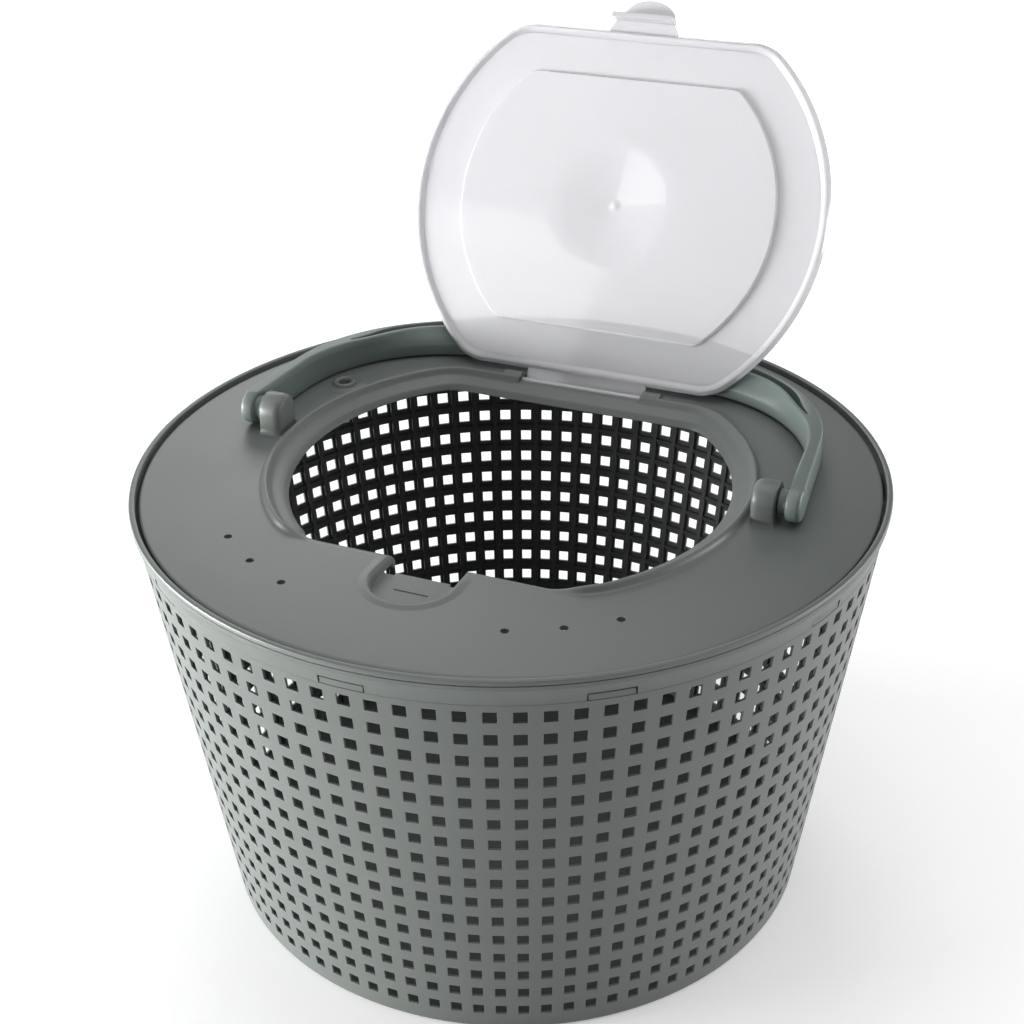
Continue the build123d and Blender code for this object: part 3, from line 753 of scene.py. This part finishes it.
knuckles = meshPiece("hingeKnuckles", *joined([
    extrudedX(knuckleOutline(), hinge["inner"], hinge["outer"]),
    extrudedX(knuckleOutline(), -hinge["outer"], -hinge["inner"]),
]), *bucketMould)
softenEdges(knuckles, hinge["edgeRound"])
lugPair = joined([lugMesh(False), lugMesh(True)])
lugs = meshPiece("handleLugs", *lugPair, *bucketMould)
softenEdges(lugs, pivot["edgeRound"], 50)
# ring of the port on a thin disc: (radius, rise above the plate)
portBore = coverSize["portBore"]
portProfile = [(r, coverSize["top"] + rise) for r, rise in (
    (portBore, -2.0), (portBore, 1.0), (3.2, 1.65), (3.9, 2.0), (4.6, 1.9), (5.05, 1.5), (5.3, 0.8),
    (5.55, 0.35), (6.1, 0.2), (9.1, 0.18), (9.35, 0.1), (9.35, -0.4), (6.0, -1.2),
)]
portRing = revolved(portProfile, 48, coverSize["portSpot"])
port = meshPiece("airPort", *portRing, *bucketMould)
softenEdges(port, coverSize["portEdge"], 60, 1)
# arrow on the floor of the recess, sunk a little so that it joins
recessFloor, arrowHeight = coverSize["top"] - coverSize["recessDepth"], coverSize["arrowHeight"]
arrowLevels = (recessFloor - arrowHeight, recessFloor + arrowHeight)
arrowVerts = [(x, y, z) for z in arrowLevels for x, y in coverSize["arrow"]]
arrowFaces = [(0, 2, 1), (3, 4, 5), (0, 1, 4, 3), (1, 2, 5, 4), (2, 0, 3, 5)]
arrow = meshPiece("openingArrow", arrowVerts, arrowFaces, *bucketMould)
softenEdges(arrow, coverSize["arrowEdge"])
snaps = joined([snapBlocks(snapSize["nibWidth"], snapSize[block]) for block in ("nib", "finger")])
nibs = meshPiece("snapNibs", *snaps, *bucketMould)
softenEdges(nibs, snapSize["edgeRound"], segments=1)
print("on the cover: knuckles, lugs, air port, arrow and snap nibs")

# handle: its outer and inner line are (half width, lean in degrees, reach, grip radius, corner radius)
handleSize = {
    "base": 181.35, "top": 195.25, "outer": (119.3, 6.0, 115.0, 263.0, 78.0),
    "inner": (113.4, 4.5, 97.0, 333.0, 64.0), "outerWall": 2.0, "innerWall": 2.7, "floor": 2.5,
    "crease": 5.0, "lean": 6.3, "fallStart": 40.0, "fallEnd": 115.0, "fall": 3.3,
    "slitStart": 68.5, "slitFull": 92.0, "edgeRound": 0.15,
}


def bowLine(halfWidth, lean, reach, gripRadius, corner, counts=(10, 30, 24)):
    # half of a bow's outline, from its pivot to the middle of the grip
    a = math.radians(lean)
    nx, ny, dx, dy = -math.cos(a), -math.sin(a), -math.sin(a), math.cos(a)
    gy = reach - gripRadius
    bx, by = halfWidth + nx * corner, ny * corner - gy
    half = bx * dx + by * dy
    t = -half + math.sqrt(half * half - (bx * bx + by * by) + (gripRadius - corner) ** 2)
    cx, cy = bx + dx * t, by + dy * t + gy
    turn = math.degrees(math.atan2(cy - gy, cx))
    armEnd = (halfWidth + dx * t, dy * t)
    shares = [i / counts[0] for i in range(counts[0])]
    points = [(mix(halfWidth, armEnd[0], share), mix(0, armEnd[1], share)) for share in shares]
    points += arcPoints(cx, cy, corner, lean, turn, counts[1])[:-1]
    points += arcPoints(0, gy, gripRadius, turn, 90, counts[2])
    return points


def widthAt(point, direction, line):
    # distance from a point to a line of points, measured along one direction
    best = None
    for (ax, ay), (bx, by) in zip(line, line[1:]):
        sx, sy = bx - ax, by - ay
        bottom = direction[0] * sy - direction[1] * sx
        if abs(bottom) < 1e-9:
            continue
        far = ((ax - point[0]) * sy - (ay - point[1]) * sx) / bottom
        along = ((ax - point[0]) * direction[1] - (ay - point[1]) * direction[0]) / bottom
        if -1e-6 <= along <= 1 + 1e-6 and far > 0 and (best is None or far < best):
            best = far
    return best


def handleBow():
    # sections square to the outer face: a flat top, an inner face that leans back,
    # and the deep slit behind the grip
    s = handleSize
    outer = bowLine(*s["outer"])
    halfInner = bowLine(*s["inner"])
    # the inner line starts ahead of the pivot, so that every section meets it
    innerLine = [(halfInner[0][0], -12.0)] + halfInner + [(-x, y) for x, y in halfInner[-2::-1]]
    half = []
    for i, (ox, oy) in enumerate(outer):
        ax, ay = outer[max(0, i - 1)]
        bx, by = outer[min(len(outer) - 1, i + 1)]
        length = math.hypot(bx - ax, by - ay)
        ux, uy = (ay - by) / length, (bx - ax) / length
        if i == len(outer) - 1:
            ux, uy = 0.0, -1.0
        half.append((ox, oy, ux, uy, widthAt((ox, oy), (ux, uy), innerLine)))
    half += [(-ox, oy, -ux, uy, width) for ox, oy, ux, uy, width in half[-2::-1]]
    base, floor, crease = s["base"], s["base"] + s["floor"], s["base"] + s["crease"]
    verts = []
    for ox, oy, ux, uy, width in half:
        across = abs(uy)  # near 0 along the arms, 1 at the grip
        lean = s["lean"] * smoothStep(across, 0.5, 0.9)
        top = s["top"] - s["fall"] * max(0.0, (oy - s["fallStart"]) / (s["fallEnd"] - s["fallStart"]))
        inEdge = width - lean - s["innerWall"] * (0.75 + 0.25 * across)
        opening = smoothStep(oy, s["slitStart"], s["slitFull"])
        outEdge = mix(inEdge - 0.9, s["outerWall"], opening)
        sink = smoothStep(oy, s["slitStart"] - 1.5, s["slitStart"] + 2.0)
        # outer face and its top edge
        section = [
            (0.9, base), (0.3, base + 0.25), (0.0, base + 0.9), (0.0, top - 1.0), (0.1, top - 0.5),
            (0.4, top - 0.12), (0.9, top), (outEdge - 0.5, top),
        ]
        # slit, level with the top where it hasn't begun
        section += [(d, mix(top, z, sink)) for d, z in (
            (outEdge - 0.12, top - 0.15), (outEdge, top - 0.6),
            (outEdge + 0.05, floor + 0.7), (outEdge + 0.3, floor),
            (inEdge - 0.3, floor), (inEdge - 0.05, floor + 0.7),
            (inEdge, top - 0.6), (inEdge + 0.12, top - 0.15),
        )]
        # inner face, leaning back above the crease
        section += [
            (inEdge + 0.5, top), (width - lean - 0.9, top), (width - lean - 0.35, top - 0.15),
            (width - lean + 0.12 * across, top - 0.7), (width - lean * 0.55, mix(crease, top, 0.55)),
            (width - 0.12 * across, crease + 0.5), (width, crease - 0.3),
            (width, base + 0.9), (width - 0.3, base + 0.25), (width - 0.9, base),
        ]
        verts += [(ox + ux * d, oy + uy * d, z) for d, z in section]
    return verts, tubeFaces(len(half), len(verts) // len(half))


# disc at the end of each arm: (radius, distance in from the bow's outer face)
discProfile = [(r, handleSize["outer"][0] - inset) for r, inset in (
    (0.2, 5.8), (6.0, 5.8), (6.6, 5.55), (6.95, 4.9), (6.95, 1.7), (6.8, 0.9), (6.3, 0.3), (5.4, 0), (0.2, 0),
)]
# boss between the disc and the lug: (radius, distance out from the lug)
bossProfile = [(r, pivot["lugOuter"] + out) for r, out in (
    (0.2, 0.5), (4.75, 0.5), (5.1, 0.8), (5.15, 1.2), (5.15, 3.6), (5.6, 4.1), (0.2, 4.3),
)]
armEnds = [
    turnedX(profile, 48, 0, pivot["z"], mirrored)
    for profile in (discProfile, bossProfile) for mirrored in (False, True)
]
bow = joined([handleBow()] + armEnds)
handle = meshPiece("handleBow", *bow, *handleMould)
softenEdges(handle, handleSize["edgeRound"], 50)
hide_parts("handle")
print("handle:", len(handle.data.polygons), "faces")

# hatch: drawn in its own plane, out from the pin, and laid open by openAngle
# outline and panel are (radius, front cut, back cut, corner radius)
hatchSize = {
    "outline": (94.0, 75.0, 75.0, 20.0), "panel": (72.0, 55.0, 55.0, 5.0), "spacing": 1.0,
    "panelSpacing": 2.0, "edgeRound": 0.3, "overlap": 0.6,
    "top": -3.8, "thickness": 1.3, "rimDepth": 2.9, "rimRun": 1.4, "rimWidth": 1.4, "rimDraft": 1.2,
    "panelDepth": 2.0, "panelRun": 1.0, "dimple": 24.0, "dimpleTip": 2.0, "dimpleDepth": 2.0, "gate": 0.5,
    "openAngle": 117.0, "tongueHalf": 27.5, "web": 1.6, "pinHalf": 35.5, "rootHalf": 15.5, "neckHalf": 13.0,
    "ribHalf": 13.5, "ribBack": 160.2, "ribThickness": 2.2, "ribDepth": 6.5,
    "lipHalf": 11.5, "lipCentre": 1.6, "lipFlare": 3.2, "flareShare": 0.45, "tip": 169.5,
}
openTurn = math.radians(hatchSize["openAngle"])
hatchOut = Vector((0, -math.sin(openTurn), -math.cos(openTurn)))
hatchAlong = Vector((0, hatchOut.z, -hatchOut.y))


def onHatch(x, along, out):
    # hatch's own x, distance from the pin and height out of the underside, to the bucket's frame
    place = Vector((x, hinge["y"], hinge["z"])) + hatchAlong * along + hatchOut * out
    return tuple(place)


def reachAt(outline, turn):
    # distance from the middle to an outline in one direction
    dx, dy = math.cos(turn), math.sin(turn)
    best = 0.0
    for i, (ax, ay, *_) in enumerate(outline):
        bx, by = outline[(i + 1) % len(outline)][:2]
        ca, cb = ax * dy - ay * dx, bx * dy - by * dx
        if ca * cb <= 0 and ca != cb:
            t = ca / (ca - cb)
            best = max(best, mix(ax, bx, t) * dx + mix(ay, by, t) * dy)
    return best


def coneShape(r):
    # shallow cone with a rounded tip: nearly 1 in the middle, 0 from the dimple's edge outwards
    s = hatchSize
    slope = max(0.0, 1 - r / s["dimple"])
    tip = s["dimpleTip"] / s["dimple"]
    if r < s["dimpleTip"]:
        slope = 1 - tip + (tip - (r / s["dimple"]) ** 2 / tip) / 2
    return slope


def hatchTray():
    s = hatchSize
    outline = cutCircle(*s["outline"], s["spacing"])
    panelOuter = cutCircle(*s["panel"], s["panelSpacing"])
    run = s["panelRun"]
    radius, front, back, corner = s["panel"]
    panelInner = cutCircle(radius - run, front - run, back - run, corner, s["panelSpacing"])
    top, wall = s["top"], s["thickness"]
    under, rimEdge = top + wall, top + s["rimDepth"]
    rimBack = s["rimRun"] + s["rimWidth"]
    rimFoot = rimBack + s["rimDraft"]
    # rim from the outer face down, in and back up: (offset from the outline, height out of the underside)
    rim = [
        (-0.5, top), (-0.15, top + 0.12), (0.0, top + 0.4), (-s["rimRun"] + 0.15, rimEdge - 0.35),
        (-s["rimRun"] - 0.25, rimEdge), (-rimBack + 0.3, rimEdge), (-rimBack - 0.05, rimEdge - 0.2),
        (-rimFoot + 0.15, under + 0.25), (-rimFoot - 0.3, under),
    ]

    def sunk(r, innerR, outerR):
        # panel and dish, by distance from the middle
        return s["panelDepth"] * (1 - smoothStep(r, innerR, outerR)) - s["dimpleDepth"] * coneShape(r)

    columns = []
    for x, y, nx, ny in outline:
        turn = math.atan2(y, x)
        cx, cy = math.cos(turn), math.sin(turn)
        full, outerR, innerR = math.hypot(x, y), reachAt(panelOuter, turn), reachAt(panelInner, turn)
        radii = [0.6, 1.2, 2.0, 3.5] + [mix(5.0, s["dimple"], i / 14) for i in range(15)]
        radii += [mix(s["dimple"], innerR, i / 6) for i in range(1, 6)]
        radii += [mix(innerR, outerR, i / 6) for i in range(7)]
        radii += [mix(outerR, full - rimFoot - 0.2, i / 4) for i in range(1, 5)]
        depths = [(r, sunk(r, innerR, outerR)) for r in radii]
        column = [(cx * r, cy * r, top + depth) for r, depth in depths]
        column += [(x + nx * o, y + ny * o, w) for o, w in rim]
        # small gate mark in the middle of the underside
        for r, depth in depths[::-1]:
            gate = s["gate"] * (1 - smoothStep(r, 0.5, 2.2))
            column.append((cx * r, cy * r, under + depth + gate))
        columns.append(column)
    verts = [onHatch(x, hinge["y"] + y, w) for column in columns for x, y, w in column]
    return verts, lensFaces(len(columns), len(columns[0]))


def hatchSlab(outline, low, high):
    # flat plate on the hatch: (x, along) outline between two heights
    return [onHatch(x, a, w) for w in (low, high) for x, a in outline], prismFaces(len(outline))


def hatchExtras():
    s = hatchSize
    top, wall = s["top"], s["thickness"]
    edge = hinge["y"] + s["outline"][1]
    back = hinge["y"] - s["outline"][1]
    half, t, overlap = s["web"] / 2, s["tongueHalf"], s["overlap"]
    tongue = hatchSlab([(-t, -half), (t, -half), (t, back + overlap), (-t, back + overlap)], top, top + wall)
    web = hatchSlab([(-t, -half), (t, -half), (t, half), (-t, half)], top + wall, 0)
    neck = [
        (mix(s["rootHalf"], s["neckHalf"], smoothStep(i, 0, 6)), mix(edge - overlap, s["ribBack"] + 1, i / 6))
        for i in range(7)
    ]
    ribFront = s["ribBack"] + s["ribThickness"]
    # lip like a bell: round head a little to one side, steep on the right, flared on the left
    head = [(math.cos(turn), math.sin(turn)) for turn in (math.pi / 2 * i / 12 for i in range(13))]
    lipFoot = ribFront - overlap
    lift = s["tip"] - lipFoot
    right = [(s["lipCentre"] + s["lipHalf"] * c, lipFoot + lift * u) for c, u in head]
    left = []
    for c, u in head[-2::-1]:
        flare = s["lipFlare"] * max(0.0, 1 - u / s["flareShare"]) ** 2
        left.append((s["lipCentre"] - s["lipHalf"] * c - flare, lipFoot + lift * u))
    tab = hatchSlab(neck + right + left + [(-x, a) for x, a in neck[::-1]], top, top + wall)
    r, ribBack = s["ribHalf"], s["ribBack"]
    ribOutline = [(-r, ribBack), (r, ribBack), (r, ribFront), (-r, ribFront)]
    rib = hatchSlab(ribOutline, top, top + wall + s["ribDepth"])
    end, chamfer = s["pinHalf"], hinge["pinChamfer"]
    pinProfile = [(0.2, -end), (hinge["pin"] - chamfer, -end), (hinge["pin"], -end + chamfer)]
    pinProfile += [(r, -x) for r, x in pinProfile[::-1]]
    pin = turnedX(pinProfile, 24, hinge["y"], hinge["z"])
    return joined([tongue, web, tab, rib, pin])


hatchPiece = meshPiece("clearHatch", *hatchTray(), *hatchMould)
shadeByAngle(hatchPiece, 35)
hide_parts("hatch")
hatchFittings = meshPiece("hatchFittings", *hatchExtras(), *hatchMould)
softenEdges(hatchFittings, hatchSize["edgeRound"])
print("hatch:", len(hatchPiece.data.polygons), "faces")

# floor, lamps and camera, in metres; a lamp is (watts, place, target, size)
stageSize = {
    "floor": 8.0, "floorShade": "#f4f4f4", "worldLevel": 0.26,
    "nearGlow": 0.3, "farGlow": 0.95, "glowFrom": 0.35, "glowTo": 1.6,
    "left": (49.0, (-1.38, -0.66, 0.17), (0, -0.1, 0.12), (1.0, 0.32)),
    "right": (13.5, (1.45, 0.7, 0.28), (0, 0, 0.12), (0.9, 0.36)),
    "top": (8.3, (0.05, 0.15, 1.6), (0, 0, 0.12), (1.4, 1.2)),
    "back": (5.0, (-0.75, 1.25, 0.85), (0, 0, 0.15), (0.9, 0.6)),
    "front": (1.8, (-0.94, -1.5, 1.05), (-0.94, 0, 1.05), (0.63, 0.44)),
}


def softBox(name, place, target, size, power):
    # area lamp aimed at its target
    data = bpy.data.lights.new(name, "AREA")
    data.shape = "RECTANGLE"
    data.size, data.size_y = size
    data.energy = power
    lamp = newObject(name, data)
    lamp.location = place
    lamp.rotation_euler = (Vector(target) - Vector(place)).to_track_quat("-Z", "Y").to_euler()


def whiteFloor():
    # matt white sweep; camera, mirror and see-through rays get enough glow to read as white paper
    material, tree = emptyMaterial("whitePaper")
    rays = addNode(tree, "ShaderNodeLightPath")
    seen = addNode(tree, "ShaderNodeMath", {"operation": "MAXIMUM"})
    tree.links.new(rays.outputs["Is Camera Ray"], seen.inputs[0])
    tree.links.new(rays.outputs["Is Transmission Ray"], seen.inputs[1])
    seenOrGlossy = addNode(tree, "ShaderNodeMath", {"operation": "MAXIMUM"})
    tree.links.new(seen.outputs[0], seenOrGlossy.inputs[0])
    tree.links.new(rays.outputs["Is Glossy Ray"], seenOrGlossy.inputs[1])
    # the glow grows away from the object, where the lamps no longer reach
    place = addNode(tree, "ShaderNodeNewGeometry")
    away = addNode(tree, "ShaderNodeVectorMath", {"operation": "LENGTH"}, {"Vector": (place, "Position")})
    level = addNode(
        tree, "ShaderNodeMapRange",
        {
            "From Min": stageSize["glowFrom"], "From Max": stageSize["glowTo"],
            "To Min": stageSize["nearGlow"], "To Max": stageSize["farGlow"],
        },
        {"Value": (away, "Value")},
    )
    glow = addNode(tree, "ShaderNodeMath", {"operation": "MULTIPLY"})
    tree.links.new(seenOrGlossy.outputs[0], glow.inputs[0])
    tree.links.new(level.outputs["Result"], glow.inputs[1])
    shader = addNode(
        tree, "ShaderNodeBsdfPrincipled",
        {"Roughness": 0.9, "Base Color": linear(stageSize["floorShade"]), "Emission Color": (1, 1, 1, 1)},
        {"Emission Strength": (glow, "Value")},
    )
    addNode(tree, "ShaderNodeOutputMaterial", None, {"Surface": (shader, "BSDF")})
    return material


reach = stageSize["floor"] / 2
floorData = bpy.data.meshes.new("floor")
floorCorners = [(-reach, -reach, 0), (reach, -reach, 0), (reach, reach, 0), (-reach, reach, 0)]
floorData.from_pydata(floorCorners, [], [(0, 1, 2, 3)])
floorPiece = newObject("floor", floorData)
floorData.materials.append(whiteFloor())

# the world is seen white, also through the hatch, and lights the object with worldLevel
world = bpy.data.worlds.new("studio")
bpy.context.scene.world = world
world.use_nodes = True
tree = world.node_tree
tree.nodes.clear()
rays = addNode(tree, "ShaderNodeLightPath")
whiteRays = addNode(tree, "ShaderNodeMath", {"operation": "MAXIMUM"})
tree.links.new(rays.outputs["Is Camera Ray"], whiteRays.inputs[0])
tree.links.new(rays.outputs["Is Transmission Ray"], whiteRays.inputs[1])
lighting = addNode(tree, "ShaderNodeBackground", {"Color": (1, 1, 1, 1), "Strength": stageSize["worldLevel"]})
seenWhite = addNode(tree, "ShaderNodeBackground", {"Color": (1, 1, 1, 1), "Strength": 1.0})
either = addNode(tree, "ShaderNodeMixShader", None, {"Fac": (whiteRays, "Value")})
tree.links.new(lighting.outputs[0], either.inputs[1])
tree.links.new(seenWhite.outputs[0], either.inputs[2])
addNode(tree, "ShaderNodeOutputWorld", None, {"Surface": (either, "Shader")})

# the front box is weak and small: it is there for its reflection in the hatch
for name in ("left", "right", "top", "back", "front"):
    power, place, target, size = stageSize[name]
    softBox(name + "Light", place, target, size, power)

# camera: place in metres, lens and sensor in millimetres, roll about the line of sight in degrees
viewFrom = {
    "place": (0.2491, -0.5805, 0.5182), "forward": (-0.3428, 0.8002, -0.4922), "roll": -0.9626,
    "lens": 63.04, "sensor": 36.0,
}
forward = Vector(viewFrom["forward"]).normalized()
right = forward.cross(Vector((0, 0, 1))).normalized()
up = right.cross(forward)
turn = math.radians(viewFrom["roll"])
rolledRight = right * math.cos(turn) + up * math.sin(turn)
rolledUp = up * math.cos(turn) - right * math.sin(turn)
cameraData = bpy.data.cameras.new("camera")
cameraData.lens = viewFrom["lens"]
cameraData.sensor_width = viewFrom["sensor"]
camera = newObject("camera", cameraData)
aim = Matrix((rolledRight, rolledUp, -forward)).transposed().to_4x4()
camera.matrix_world = Matrix.Translation(viewFrom["place"]) @ aim
bpy.context.scene.camera = camera
bpy.context.scene.view_settings.view_transform = "Standard"
print("stage, lights and camera set")
